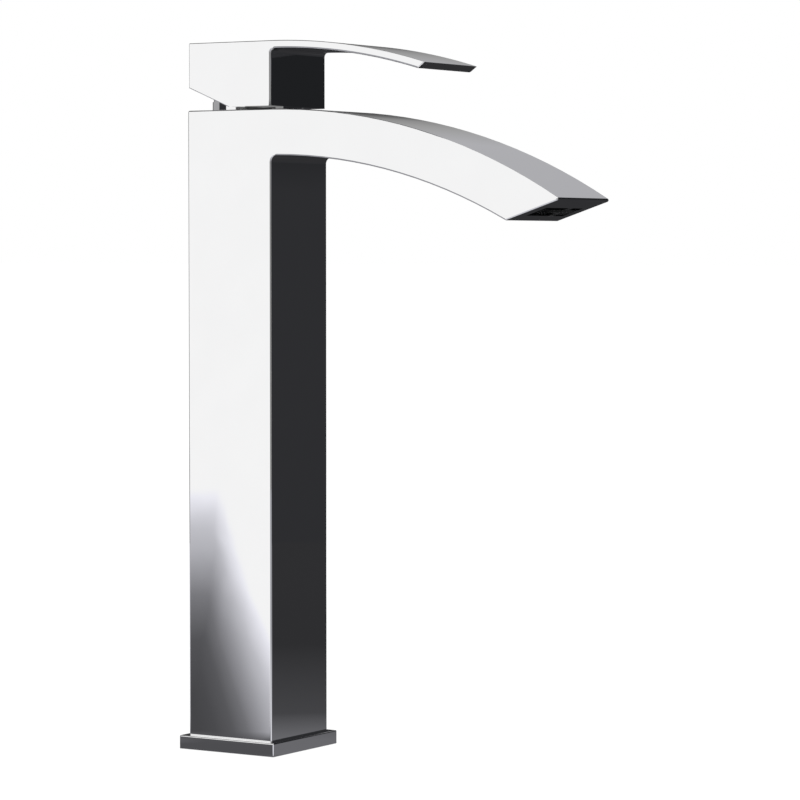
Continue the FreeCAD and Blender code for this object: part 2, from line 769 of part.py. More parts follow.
def outlet_frame():
    """The frame that holds the flow straightener, with a lip towards the mouth."""
    body = new_body("outlet_frame")
    outside = draw_box(new_sketch(body, "XY_Plane", "Outside", "frame_start"),
                       "frame_half_length", "frame_half_width")
    pad(body, outside, "frame_depth")
    room = draw_box(new_sketch(body, "XY_Plane", "Room", "straightener_start"),
                    "frame_room_half_length", "frame_room_half_width")
    pocket(body, room, "straightener_depth + overrun")
    mouth = draw_box(new_sketch(body, "XY_Plane", "Mouth", "frame_start - overrun"),
                     "frame_room_half_length - frame_lip", "frame_room_half_width - frame_lip")
    pocket(body, mouth, "frame_depth")
    at_spout_end(body)


def flow_straightener():
    """A grid of square cells that calms the water."""
    body = new_body("flow_straightener")
    block = draw_box(new_sketch(body, "XY_Plane", "Block", "straightener_start"),
                     "straightener_half_length", "straightener_half_width")
    pad(body, block, "straightener_depth")
    low_x = "straightener_rib - straightener_half_length"
    low_y = "straightener_rib - straightener_half_width"
    high_x = "cell_pitch_x - straightener_half_length"
    high_y = "cell_pitch_y - straightener_half_width"
    cell = draw(new_sketch(body, "XY_Plane", "Cell", "straightener_start - overrun"),
                [(low_x, low_y), (high_x, low_y), (high_x, high_y), (low_x, high_y)])
    first = pocket(body, cell, "straightener_depth + 2 * overrun")

    pattern = body.newObject("PartDesign::MultiTransform", "Cells")
    pattern.Originals = [first]
    steps = []
    for axis, count, pitch in (("H_Axis", "straightener_columns", "cell_pitch_x"),
                               ("V_Axis", "straightener_rows", "cell_pitch_y")):
        step = body.newObject("PartDesign::LinearPattern", "Row")
        step.Direction = (cell, [axis])
        step.Mode = "Spacing"
        bind(step, Occurrences=count, Offset=pitch)
        steps.append(step)
    pattern.Transformations = steps
    body.Tip = pattern
    at_spout_end(body)


def outlet_seal():
    """The flat seal between the frame and the ledge of the recess."""
    body = new_body("outlet_seal")
    outside = draw_box(new_sketch(body, "XY_Plane", "Outside", "outlet_seal_start"),
                       "frame_half_length", "frame_half_width")
    pad(body, outside, "outlet_seal_thickness")
    inside = draw_box(new_sketch(body, "XY_Plane", "Inside", "outlet_seal_start - overrun"),
                      "window_half_length", "window_half_width")
    pocket(body, inside, "outlet_seal_thickness + 2 * overrun")
    at_spout_end(body)


# Base

def base_flange():
    """The square plate under the column, with a socket for it and a groove for the gasket."""
    body = new_body("base_flange")
    plate = draw_rounded(new_sketch(body, "XY_Plane", "Plate"), "half_flange", "flange_corner")
    pad(body, plate, "flange_thickness")
    top = measure("flange_thickness")

    def top_edge(edge):
        return same(edge.BoundBox.ZMin, top) and same(edge.BoundBox.ZMax, top)
    round_edges(body, "flange_top_round", top_edge)
    socket = draw_box(new_sketch(body, "XY_Plane", "Socket", "column_base"), "socket_half", "socket_half")
    pocket(body, socket, "socket_depth + overrun")
    hole = [("0", "-overrun"), ("hose_passage_radius", "-overrun"),
            ("hose_passage_radius", "flange_thickness + overrun"), ("0", "flange_thickness + overrun")]
    turn(body, draw(new_sketch(body, "XZ_Plane", "HosePassage"), hole), "PartDesign::Groove")
    groove = [("gasket_inner", "-overrun"), ("gasket_outer", "-overrun"),
              ("gasket_outer", "gasket_thickness"), ("gasket_inner", "gasket_thickness")]
    turn(body, draw(new_sketch(body, "XZ_Plane", "GasketGroove"), groove), "PartDesign::Groove")


def base_gasket():
    turned_body("base_gasket", [("gasket_inner", "0"), ("gasket_outer", "0"),
                                ("gasket_outer", "gasket_thickness"), ("gasket_inner", "gasket_thickness")])


def foot_block():
    """The block in the column's foot: two threaded inlets, a stud hole and four screw holes."""
    body = new_body("foot_block")
    block = draw_rounded(new_sketch(body, "XY_Plane", "Block", "column_base"), "foot_half", "cavity_corner")
    pad(body, block, "foot_height")
    threads = new_sketch(body, "XY_Plane", "InletThreads", "column_base")
    ports = new_sketch(body, "XY_Plane", "InletPorts", "column_base")
    sockets = new_sketch(body, "XY_Plane", "RiserSockets", "foot_top")
    seals = new_sketch(body, "XY_Plane", "RiserSeals", "foot_top")
    for x in ("inlet_x", "-inlet_x"):
        draw_circle(threads, x, "-inlet_forward", "inlet_thread_radius")
        draw_circle(ports, x, "-inlet_forward", "port_radius")
        draw_circle(sockets, x, "-inlet_forward", "riser_socket_radius")
        draw_circle(seals, x, "-inlet_forward", "riser_seal_radius")
    pocket(body, threads, "inlet_thread_depth")
    pocket(body, ports, "foot_height")
    pocket(body, sockets, "riser_socket_depth", along=False)
    pocket(body, seals, "riser_seal_height", along=False)
    stud = draw_circle(new_sketch(body, "XY_Plane", "StudHole", "column_base"), "0", "stud_setback",
                       "stud_hole_radius")
    pocket(body, stud, "stud_hole_depth")
    shanks = new_sketch(body, "XY_Plane", "ScrewShanks", "column_base")
    heads = new_sketch(body, "XY_Plane", "ScrewHeads", "column_base")
    for x in ("foot_screw_place", "-foot_screw_place"):
        for y in ("foot_screw_place", "-foot_screw_place"):
            draw_circle(shanks, x, y, "foot_screw_radius + screw_clearance")
            draw_circle(heads, x, y, "foot_screw_head_radius + screw_clearance")
    pocket(body, shanks, "foot_height")
    pocket(body, heads, "foot_screw_sinking")


def foot_screws():
    """Four screws that hold the foot block to the corner bosses, heads down."""
    screws = []
    for number, (sign_x, sign_y) in enumerate((("", ""), ("-", ""), ("", "-"), ("-", "-")), start=1):
        place = {"x": f"{sign_x}foot_screw_place", "y": f"{sign_y}foot_screw_place"}
        name = f"foot_screw_{number}"
        low = "foot_screw_seat - foot_screw_head_height"
        head = cylinder(name + "_head", "foot_screw_head_radius", "foot_screw_head_height", z=low, **place)
        shank = cylinder(name + "_shank", "foot_screw_radius", "foot_screw_top - foot_screw_seat",
                         z="foot_screw_seat", **place)
        drive = prism(name + "_drive", "foot_screw_drive", "foot_screw_head_height / 2 + overrun",
                      z=f"{low} - overrun", **place)
        screws.append(cut(name, fuse(name + "_blank", head, shank), drive))
    group("foot_screws", screws)


def riser_tubes():
    """The hot and cold tubes from the foot block up to the cartridge seat."""
    for label, x in (("hot_riser", "-inlet_x"), ("cold_riser", "inlet_x")):
        keep(ring(label, "riser_radius - riser_wall", "riser_radius", "riser_high - riser_low",
                  x, "-inlet_forward", "riser_low"))


def riser_seals():
    """A seal at each end of each riser tube."""
    seals = []
    for side, x in (("hot", "-inlet_x"), ("cold", "inlet_x")):
        for level, z in (("low", "foot_top - riser_seal_height"), ("high", "floor_bottom")):
            seal = ring(f"{side}_{level}_seal", "riser_radius", "riser_seal_radius", "riser_seal_height",
                        x, "-inlet_forward", z)
            seals.append(seal)
    group("riser_seals", seals)


# Cartridge

def draw_ports(sketch, grow="0"):
    """The two inlet ports and the mixed-water port, each widened by the same amount."""
    for x in ("inlet_x", "-inlet_x"):
        draw_circle(sketch, x, "-inlet_forward", f"port_radius + {grow}")
    return draw_circle(sketch, "0", "mixed_port_setback", f"mixed_port_radius + {grow}")


def cartridge_base():
    """The bottom of the cartridge, with its ports, seal seats and locating pegs."""
    body = new_body("cartridge_base")
    disc = draw_circle(new_sketch(body, "XY_Plane", "Disc", "seat_z"), "0", "0", "cartridge_radius")
    pad(body, disc, "cartridge_base_height")
    pegs = new_sketch(body, "XY_Plane", "Pegs", "seat_z - peg_length")
    for x in ("peg_spacing / 2", "-peg_spacing / 2"):
        draw_circle(pegs, x, "peg_setback", "peg_radius")
    pad(body, pegs, "peg_length")
    pocket(body, draw_ports(new_sketch(body, "XY_Plane", "Ports", "seat_z")), "cartridge_base_height")
    seats = draw_ports(new_sketch(body, "XY_Plane", "SealSeats", "seat_z"), "port_seal_width")
    pocket(body, seats, "port_seal_height")


def cartridge_seals():
    """The three seals that close the ports against the seat."""
    places = [("hot", "-inlet_x", "-inlet_forward", "port_radius"),
              ("cold", "inlet_x", "-inlet_forward", "port_radius"),
              ("mixed", "0", "mixed_port_setback", "mixed_port_radius")]
    seals = [ring(f"{name}_port_seal", radius, f"{radius} + port_seal_width", "port_seal_height",
                  x, y, "seat_z")
             for name, x, y, radius in places]
    group("cartridge_seals", seals)


def fixed_disc():
    """The ceramic disc that stays still, with the three ports through it."""
    body = new_body("fixed_disc")
    disc = draw_circle(new_sketch(body, "XY_Plane", "Disc", "base_top"), "0", "0", "fixed_disc_radius")
    pad(body, disc, "fixed_disc_height")
    pocket(body, draw_ports(new_sketch(body, "XY_Plane", "Ports", "base_top")), "fixed_disc_height")


def draw_keys(sketch):
    """The two keys that make the moving disc follow its carrier."""
    share_x, share_y = KEY_SHARES
    y = f"{share_y} * moving_radius"
    for sign in ("", "-"):
        draw_circle(sketch, f"{sign}{share_x} * moving_radius", y, "carrier_key_radius")
    return sketch


def moving_disc():
    """The ceramic disc that slides and turns on the fixed one, with the mixing hollow in its underside."""
    body = new_body("moving_disc")
    disc = draw_circle(new_sketch(body, "XY_Plane", "Disc", "moving_bottom"), "0", "0", "moving_radius")
    pad(body, disc, "moving_disc_height")
    right = [(f"{x} * moving_radius", f"{y} * moving_radius") for x, y in MIXING_SHARES]
    left = [(f"-{x} * moving_radius", f"{y} * moving_radius") for x, y in reversed(MIXING_SHARES)]
    hollow = draw(new_sketch(body, "XY_Plane", "MixingHollow", "moving_bottom"), right + left)
    pocket(body, hollow, "mixing_depth")
    keys = new_sketch(body, "XY_Plane", "KeyHoles", "moving_top")
    draw_keys(keys)
    pocket(body, keys, "carrier_key_height", along=False)


def disc_carrier():
    """The slider that carries the moving disc, with a square post and a socket for the spindle's ball."""
    body = new_body("disc_carrier")
    disc = draw_circle(new_sketch(body, "XY_Plane", "Disc", "moving_top"), "0", "0", "moving_radius")
    pad(body, disc, "carrier_disc_height")
    post = draw_box(new_sketch(body, "XY_Plane", "Post", "moving_top + carrier_disc_height"),
                    "post_half", "post_half")
    pad(body, post, "carrier_top - moving_top - carrier_disc_height")
    keys = new_sketch(body, "XY_Plane", "Keys", "moving_top - carrier_key_height")
    draw_keys(keys)
    pad(body, keys, "carrier_key_height")
    socket = draw_box(new_sketch(body, "XY_Plane", "BallSocket", "ball_floor"), "ball_room", "ball_room")
    pocket(body, socket, "carrier_top - ball_floor + overrun")


def cartridge_housing():
    """The cartridge's cup, open below, with a shoulder for the nut and a neck for the turret."""
    turned_body("cartridge_housing", [
        ("housing_inner", "base_top"), ("cartridge_radius", "base_top"), ("cartridge_radius", "shoulder_z"),
        ("neck_outer", "shoulder_z"), ("neck_outer", "neck_top"), ("neck_inner", "neck_top"),
        ("neck_inner", "lid_bottom"), ("housing_inner", "lid_bottom")])


def spindle_turret():
    """The turning collar that holds the spindle's pin and guides the disc carrier."""
    body = turned_body("spindle_turret", [
        ("0", "turret_bottom"), ("turret_flange_radius", "turret_bottom"),
        ("turret_flange_radius", "turret_flange_top"), ("turret_radius", "turret_flange_top"),
        ("turret_radius", "turret_top"), ("0", "turret_top")])
    room = draw_box(new_sketch(body, "XY_Plane", "PostRoom", "turret_bottom"),
                    "post_room_half", "post_room_half + slide_travel")
    pocket(body, room, "post_room_top - turret_bottom")
    swing = draw_box(new_sketch(body, "XY_Plane", "SpindleRoom", "post_room_top"),
                     "spindle_room_half", "swing_room_half")
    pocket(body, swing, "turret_top - post_room_top + overrun")
    hole = draw_circle(new_sketch(body, "YZ_Plane", "PinHole"), "0", "pin_z", "pin_radius")
    pocket(body, hole, "2 * turret_radius + 2 * overrun", both_ways=True)


def spindle_pin():
    keep(cylinder("spindle_pin", "pin_radius", "2 * (turret_radius - pin_inset)",
                  x="pin_inset - turret_radius", z="pin_z", axis="X"))


def spindle():
    """The square stem that rocks on the pin, with a ball below that pushes the disc carrier."""
    body = new_body("spindle")
    ball_join = "ball_z + sqrt(ball_radius ^ 2 - spindle_neck_radius ^ 2)"
    profile = [("0", "ball_z - ball_radius"), ("spindle_neck_radius", ball_join),
               ("spindle_neck_radius", "pin_z - spindle_hub_drop + overrun"),
               ("0", "pin_z - spindle_hub_drop + overrun")]
    turn(body, draw(new_sketch(body, "XZ_Plane", "Ball"), profile, {0: ("ball_radius", True)}))
    stem = draw_box(new_sketch(body, "XY_Plane", "Stem", "pin_z - spindle_hub_drop"),
                    "spindle_width / 2", "spindle_width / 2")
    pad(body, stem, "spindle_top - pin_z + spindle_hub_drop")
    hole = draw_circle(new_sketch(body, "YZ_Plane", "PinHole"), "0", "pin_z", "pin_radius + pin_clearance")
    pocket(body, hole, "spindle_width + 2 * overrun", both_ways=True)


def limit_ring():
    """The ring on the cartridge's neck that limits the hot side, with a stop tab."""
    body = turned_body("temperature_limit_ring", [
        ("neck_outer", "nut_top"), ("limit_ring_outer", "nut_top"),
        ("limit_ring_outer", "nut_top + limit_ring_height"), ("neck_outer", "nut_top + limit_ring_height")])
    inner, outer = (f"neck_outer + {share} * limit_ring_width" for share in TAB_SHARES)
    tab = draw(new_sketch(body, "XY_Plane", "Tab", "nut_top + limit_ring_height"),
               [("-limit_tab_width / 2", inner), ("limit_tab_width / 2", inner),
                ("limit_tab_width / 2", outer), ("-limit_tab_width / 2", outer)])
    pad(body, tab, "limit_tab_height")


def retaining_nut():
    """The ring nut that holds the cartridge down, with spanner notches and a seal groove in its head."""
    body = turned_body("retaining_nut", [
        ("nut_bore", "shoulder_z"), ("nut_radius", "shoulder_z"), ("nut_radius", "body_height"),
        ("nut_head_radius", "body_height"), ("nut_head_radius", "nut_top"), ("nut_bore", "nut_top")])
    groove = [("nut_head_radius - seal_groove_depth", "cover_seal_z - cover_seal_radius"),
              ("nut_head_radius + overrun", "cover_seal_z - cover_seal_radius"),
              ("nut_head_radius + overrun", "cover_seal_z + cover_seal_radius"),
              ("nut_head_radius - seal_groove_depth", "cover_seal_z + cover_seal_radius")]
    turn(body, draw(new_sketch(body, "XZ_Plane", "SealGroove"), groove), "PartDesign::Groove")
    inner, outer = "nut_bore - overrun", "nut_head_radius + overrun"
    notch = draw(new_sketch(body, "XY_Plane", "Notch", "nut_top - nut_notch_depth"),
                 [(inner, "-nut_notch_width / 2"), (outer, "-nut_notch_width / 2"),
                  (outer, "nut_notch_width / 2"), (inner, "nut_notch_width / 2")])
    first = pocket(body, notch, "nut_notch_depth + overrun")
    pattern = body.newObject("PartDesign::PolarPattern", "Notches")
    pattern.Originals = [first]
    pattern.Axis = (notch, ["N_Axis"])
    pattern.Angle = 360
    bind(pattern, Occurrences="nut_notches")
    body.Tip = pattern
    doc.recompute()


def cover_ring():
    """The polished ring that hides the nut, with a wider band where it stands on the body."""
    turned_body("cover_ring", [
        ("cover_bore", "body_height"), ("cover_lower", "body_height"),
        ("cover_lower", "cover_band_top"), ("cover_upper", "cover_band_top"),
        ("cover_upper", "cover_top"), ("cover_lip", "cover_top"),
        ("cover_lip", "cover_top - cover_lip_height"), ("cover_bore", "cover_top - cover_lip_height")])


def cover_seal():
    """The round seal that grips the cover ring on the nut's head."""
    item = keep(doc.addObject("Part::Torus", "cover_seal"))
    bind(item, Radius1="cover_bore - cover_seal_radius", Radius2="cover_seal_radius",
         Placement__Base__z="cover_seal_z")


# Handle

def handle_outside(body):
    """The hollow block with the blade lever that curves down from its top."""
    corners = [("half_handle", "relief_z"), ("half_handle", "handle_top"),
               ("-half_handle", "handle_top"), ("-lever_reach", "lever_tip_z"),
               ("lever_heel_y", "lever_heel_z"), ("-half_handle", "handle_top - lever_thickness"),
               ("-half_handle", "handle_base"), ("relief_start", "handle_base")]
    arcs = {2: ("lever_arc_radius", True), 4: ("lever_low_radius", False)}
    sketch = draw(new_sketch(body, "YZ_Plane", "Outside"), corners, arcs)
    pad(body, sketch, "2 * half_handle", both_ways=True)

    half, base = measure("half_handle"), measure("handle_base")
    root = (-half, measure("handle_top - lever_thickness"))
    round_edges(body, "lever_root_round", lambda edge: across_edge(edge, *root))

    rear = (half, measure("handle_top"))
    tip = (-measure("lever_reach"), measure("lever_tip_z"))
    heel = (measure("lever_heel_y"), measure("lever_heel_z"))

    def under_edge(edge):
        box = edge.BoundBox
        return side_edge(edge, half, base) and box.YMin > heel[0] - SAME_PLACE and box.YMax < SAME_PLACE - half \
            and box.ZMax < root[1] + SAME_PLACE
    round_edges(body, "lever_under_round", under_edge)

    def outer_edge(edge):
        return side_edge(edge, half, base) or any(across_edge(edge, *place) for place in (rear, tip, heel))
    round_edges(body, "handle_edge_round", outer_edge)


def lever_handle():
    body = new_body("lever_handle")
    handle_outside(body)
    hollow = [("0", "handle_base - overrun"), ("handle_cavity", "handle_base - overrun"),
              ("handle_cavity", "cavity_roof"), ("boss_radius", "cavity_roof"),
              ("boss_radius", "boss_bottom"), ("0", "boss_bottom")]
    turn(body, draw(new_sketch(body, "XZ_Plane", "Hollow"), hollow), "PartDesign::Groove")
    socket = draw_box(new_sketch(body, "XY_Plane", "AdapterSocket", "boss_bottom - overrun"),
                      "adapter_half + adapter_clearance", "adapter_half + adapter_clearance")
    pocket(body, socket, "adapter_top - boss_bottom + overrun")
    thread = draw_circle(new_sketch(body, "XZ_Plane", "ScrewThread"), "0", "screw_z", "set_screw_radius")
    pocket(body, thread, "boss_radius + overrun", along=False)
    access = draw_circle(new_sketch(body, "XZ_Plane", "ScrewAccess", "overrun - handle_cavity"),
                         "0", "screw_z", "access_radius")
    pocket(body, access, "handle_wall + 2 * overrun", along=False)


def spindle_adapter():
    """The square sleeve between the spindle and the handle's boss, with a hole for the set screw."""
    body = new_body("spindle_adapter")
    outside = draw_box(new_sketch(body, "XY_Plane", "Outside", "boss_bottom"), "adapter_half", "adapter_half")
    pad(body, outside, "adapter_top - boss_bottom")
    inside = draw_box(new_sketch(body, "XY_Plane", "Inside", "boss_bottom - overrun"),
                      "spindle_width / 2 + adapter_clearance", "spindle_width / 2 + adapter_clearance")
    pocket(body, inside, "adapter_top - boss_bottom + 2 * overrun")
    hole = draw_circle(new_sketch(body, "XZ_Plane", "ScrewHole"), "0", "screw_z",
                       "set_screw_radius + screw_clearance")
    pocket(body, hole, "adapter_half + overrun", along=False)


def set_screw():
    """The grub screw that grips the spindle, driven from behind."""
    blank = cylinder("set_screw_blank", "set_screw_radius", "set_screw_length",
                     y="spindle_width / 2", z="screw_z", axis="Y")
    drive = prism("set_screw_socket", "set_screw_drive", "set_screw_drive_depth + overrun",
                  y="spindle_width / 2 + set_screw_length - set_screw_drive_depth", z="screw_z", axis="Y")
    keep(cut("set_screw", blank, drive))


def screw_cap():
    """The plug that closes the screw's access hole, flush with the back of the handle."""
    keep(cylinder("screw_cap", "access_radius", "handle_wall + cap_inner_length",
                  y="handle_cavity - cap_inner_length", z="screw_z", axis="Y"))


def write_parts():
    """Check every object, then write one file for each sub-part."""
    doc.recompute()
    for item in doc.Objects:
        if "Invalid" in item.State or "Error" in item.State:
            raise RuntimeError(f"{item.Label} failed: {item.State}")
    for item in subparts:
        if item.Shape.isNull() or not item.Shape.isValid() or not item.Shape.Solids:
            raise RuntimeError(f"{item.Label} has no valid solid")
    os.makedirs("parts", exist_ok=True)
    for item in subparts:
        item.Shape.exportStep(os.path.join("parts", item.Label + ".step"))


for make in (body_shell, outlet_frame, flow_straightener, outlet_seal, base_flange, base_gasket, foot_block,
             foot_screws, riser_tubes, riser_seals, cartridge_base, cartridge_seals, fixed_disc, moving_disc,
             disc_carrier, cartridge_housing, spindle_turret, spindle_pin, spindle, limit_ring, retaining_nut,
             cover_ring, cover_seal, lever_handle, spindle_adapter, set_screw, screw_cap):
    make()
write_parts()
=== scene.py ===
"""Looks of the tall basin faucet: its solids in chrome, rubber and plastic, in a white studio."""

import math

import bmesh
import bpy
from mathutils import Matrix, Vector


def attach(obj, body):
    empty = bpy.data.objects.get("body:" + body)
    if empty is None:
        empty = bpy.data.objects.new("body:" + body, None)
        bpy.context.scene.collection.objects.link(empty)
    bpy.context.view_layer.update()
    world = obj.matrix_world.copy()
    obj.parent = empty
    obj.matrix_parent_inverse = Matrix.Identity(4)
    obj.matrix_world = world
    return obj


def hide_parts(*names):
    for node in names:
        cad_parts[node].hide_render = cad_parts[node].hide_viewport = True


MM = 0.001

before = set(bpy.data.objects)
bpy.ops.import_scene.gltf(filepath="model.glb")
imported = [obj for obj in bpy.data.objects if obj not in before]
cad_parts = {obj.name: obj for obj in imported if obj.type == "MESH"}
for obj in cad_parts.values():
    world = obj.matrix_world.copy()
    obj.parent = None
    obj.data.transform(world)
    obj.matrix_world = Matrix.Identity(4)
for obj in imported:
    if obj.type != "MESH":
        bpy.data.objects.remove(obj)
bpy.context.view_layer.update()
scene = bpy.context.scene


# Node trees

class Shader:
    """The node tree of a material or world, and short ways to add and join its nodes."""

    def __init__(self, owner, output="ShaderNodeOutputMaterial"):
        owner.use_nodes = True
        self.owner = owner
        self.tree = owner.node_tree
        self.tree.nodes.clear()
        self.output = self.add(output)

    def add(self, kind, inputs=None, **settings):
        node = self.tree.nodes.new(kind)
        for key, value in settings.items():
            setattr(node, key, value)
        for key, value in (inputs or {}).items():
            self.put(node.inputs[key], value)
        return node

    def put(self, socket, value):
        """Join an output to an input socket, or set the socket to a plain value."""
        if isinstance(value, bpy.types.NodeSocket):
            self.tree.links.new(value, socket)
        else:
            socket.default_value = value

    def math(self, operation, *values):
        return self.add("ShaderNodeMath", dict(enumerate(values)), operation=operation).outputs[0]

    def place(self):
        """The position in the object's own frame, in metres."""
        return self.add("ShaderNodeTexCoord").outputs["Object"]

    def stretched(self, factors):
        """The position, stretched along its axes, for grain that runs one way."""
        node = self.add("ShaderNodeMapping", {"Vector": self.place(), "Scale": factors})
        return node.outputs["Vector"]

    def noise(self, vector, scale, detail, roughness=0.5):
        node = self.add("ShaderNodeTexNoise", {"Vector": vector, "Scale": scale, "Detail": detail,
                                               "Roughness": roughness})
        return node.outputs["Fac"]

    def spread(self, value, low, high):
        """A value that runs from 0 to 1, carried to another range."""
        node = self.add("ShaderNodeMapRange", {"Value": value, "To Min": low, "To Max": high})
        return node.outputs["Result"]

    def share(self, value, low, high):
        """How far a value has come from one end of a range to the other, from 0 to 1."""
        node = self.add("ShaderNodeMapRange", {"Value": value, "From Min": low, "From Max": high})
        return node.outputs["Result"]

    def ramp(self, value, stops):
        """Colours by a value from 0 to 1; each stop is a place and a colour."""
        node = self.add("ShaderNodeValToRGB", {"Fac": value})
        band = node.color_ramp.elements
        while len(band) < len(stops):
            band.new(0.5)
        for element, (place, colour) in zip(band, stops):
            element.position = place
            element.color = (*colour, 1.0)
        return node.outputs["Color"]

    def ramp_over(self, value, low, high, stops):
        """Colours by a value in a range of its own; each stop is a value and a colour."""
        places = [((place - low) / (high - low), colour) for place, colour in stops]
        return self.ramp(self.share(value, low, high), places)

    def blend(self, factor, first, second):
        """A colour between two others."""
        node = self.add("ShaderNodeMix", {"Factor": factor}, data_type="RGBA", clamp_factor=True)
        ends = [socket for socket in node.inputs if socket.type == "RGBA"]
        for socket, value in zip(ends, (first, second)):
            self.put(socket, value)
        return [socket for socket in node.outputs if socket.type == "RGBA"][0]

    def bump(self, height, distance):
        node = self.add("ShaderNodeBump", {"Height": height, "Distance": distance, "Strength": 1.0})
        return node.outputs["Normal"]

    def emission(self, **inputs):
        return self.add("ShaderNodeEmission", inputs).outputs[0]

    def mix(self, factor, first, second):
        """One of two surfaces, or a share of both."""
        return self.add("ShaderNodeMixShader", {"Fac": factor, 1: first, 2: second}).outputs[0]

    def ray_kinds(self):
        """Whether a ray comes from the camera, and whether off polished metal or through glass."""
        path = self.add("ShaderNodeLightPath").outputs
        polished = self.math("MAXIMUM", path["Is Glossy Ray"], path["Is Transmission Ray"])
        return path["Is Camera Ray"], polished

    def surface(self, socket):
        self.put(self.output.inputs["Surface"], socket)
        return self.owner

    def principled(self, inputs):
        return self.surface(self.add("ShaderNodeBsdfPrincipled", inputs).outputs[0])


def new_shader(name):
    return Shader(bpy.data.materials.new(name))


# Finishes; distances and bump depths are in metres

def shaded(colour, share):
    return tuple(channel * share for channel in colour)


def plated(name, colour):
    """Bright chrome plating, with a faint polishing haze and hardly any waviness."""
    shader = new_shader(name)
    place = shader.place()
    haze = shader.noise(place, scale=45.0, detail=4.0)
    wipes = shader.noise(shader.stretched((900.0, 900.0, 60.0)), scale=1.0, detail=2.0)
    rough = shader.math("ADD", shader.spread(haze, low=0.012, high=0.03),
                        shader.spread(wipes, low=0.0, high=0.012))
    tint = shader.ramp(haze, [(0.3, shaded(colour, 0.985)), (0.7, colour)])
    wave = shader.bump(shader.noise(place, scale=60.0, detail=1.0), distance=0.00001)
    return shader.principled({"Base Color": tint, "Metallic": 1.0, "Roughness": rough, "Normal": wave})


def turned_metal(name, colour, rough=(0.2, 0.34)):
    """Machined metal: fine tool lines round the upright axis, and patches of duller skin."""
    shader = new_shader(name)
    patches = shader.noise(shader.place(), scale=120.0, detail=4.0, roughness=0.6)
    lines = shader.noise(shader.stretched((40.0, 40.0, 2600.0)), scale=1.0, detail=2.0)
    tint = shader.ramp(patches, [(0.25, shaded(colour, 0.78)), (0.55, colour),
                                 (0.85, shaded(colour, 1.06))])
    height = shader.math("ADD", lines, shader.math("MULTIPLY", patches, 0.4))
    return shader.principled({"Base Color": tint, "Metallic": 1.0,
                              "Roughness": shader.spread(patches, *rough),
                              "Normal": shader.bump(height, distance=0.00003)})


def moulded(name, colour, rough=(0.32, 0.5), sheen=0.0, gloss=0.5):
    """Moulded plastic or rubber: a fine even grain, and shade that varies a little over the piece."""
    shader = new_shader(name)
    place = shader.place()
    cloud = shader.noise(place, scale=90.0, detail=3.0)
    skin = shader.noise(place, scale=1800.0, detail=2.0, roughness=0.6)
    tint = shader.ramp(cloud, [(0.3, shaded(colour, 0.84)), (0.7, shaded(colour, 1.1))])
    return shader.principled({"Base Color": tint, "Roughness": shader.spread(skin, *rough),
                              "Sheen Weight": sheen, "Specular IOR Level": gloss,
                              "Normal": shader.bump(skin, distance=0.00002)})


def glazed(name, colour):
    """Ceramic ground flat: almost white, with a fine speckle."""
    shader = new_shader(name)
    speckle = shader.noise(shader.place(), scale=2200.0, detail=2.0, roughness=0.7)
    tint = shader.ramp(speckle, [(0.35, shaded(colour, 0.9)), (0.6, colour)])
    return shader.principled({"Base Color": tint,
                              "Roughness": shader.spread(speckle, low=0.1, high=0.22),
                              "Normal": shader.bump(speckle, distance=0.000005)})


CHROME = plated("chrome_plated_brass", (0.905, 0.905, 0.908))
FINISHES = {
    "chrome_plated_brass": CHROME,
    "plain_brass": turned_metal("plain_brass", (0.72, 0.52, 0.24)),
    "copper_tube": turned_metal("copper_tube", (0.83, 0.46, 0.32), rough=(0.22, 0.4)),
    "stainless_steel": turned_metal("stainless_steel", (0.58, 0.57, 0.55), rough=(0.18, 0.3)),
    "black_rubber": moulded("black_rubber", (0.018, 0.018, 0.019), rough=(0.55, 0.75), sheen=0.15),
    "dark_plastic": moulded("dark_plastic", (0.006, 0.0065, 0.007), rough=(0.45, 0.6), gloss=0.06),
    "cartridge_plastic": moulded("cartridge_plastic", (0.62, 0.62, 0.6), rough=(0.35, 0.5)),
    "red_plastic": moulded("red_plastic", (0.5, 0.03, 0.025)),
    "ceramic": glazed("ceramic", (0.82, 0.81, 0.78)),
}
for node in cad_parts.values():
    for slot in node.material_slots:
        slot.material = FINISHES[slot.material.name.split(".")[0]]


# Handle casting, with evenly divided rounds along its edges; in millimetres, places as (y, z)

HALF_HANDLE, HANDLE_BASE, HANDLE_TOP = 22.1, 288.8, 317.5
LEVER_CENTRE, LEVER_LOWER = (-22.1, 41.5), 272.45
LEVER_TIP, LEVER_HEEL = (-102.2, 305.6212), (-98.4882, 303.0222)
RELIEF_LOW, RELIEF_HIGH = (0.9, 288.8), (22.1, 297.4948)
ROOT_ROUND, EDGE_ROUND, UNDER_ROUND = 2.0, 0.5, 1.0
CAVITY_RADIUS, CAVITY_ROOF = 20.65, 313.5
BOSS_RADIUS, BOSS_LOW = 9.0, 299.4
SOCKET_HALF, SOCKET_ROOF = 5.55, 312.5
SCREW_HEIGHT = 305.95
THREAD_RADIUS, THREAD_SPAN = 2.5, (0.0, 9.5)
ACCESS_RADIUS, ACCESS_SPAN = 3.2, (20.0, 23.0)
OVERCUT = 1.0

LEVER_STEPS, ROOT_STEPS, ROUND_STEPS = 40, 8, 6
TURNED_STEPS, DRILL_STEPS = 96, 48
SHARP_ANGLE = 35.0
FLAT_WEIGHT = 100


def arc(centre, start, end, steps):
    """Points round a centre from one place towards another, without the last one."""
    radius = math.dist(centre, start)
    first, last = (math.atan2(place[1] - centre[1], place[0] - centre[0]) for place in (start, end))
    turns = [first + (last - first) * step / steps for step in range(steps)]
    return [(centre[0] + radius * math.cos(turn), centre[1] + radius * math.sin(turn))
            for turn in turns]


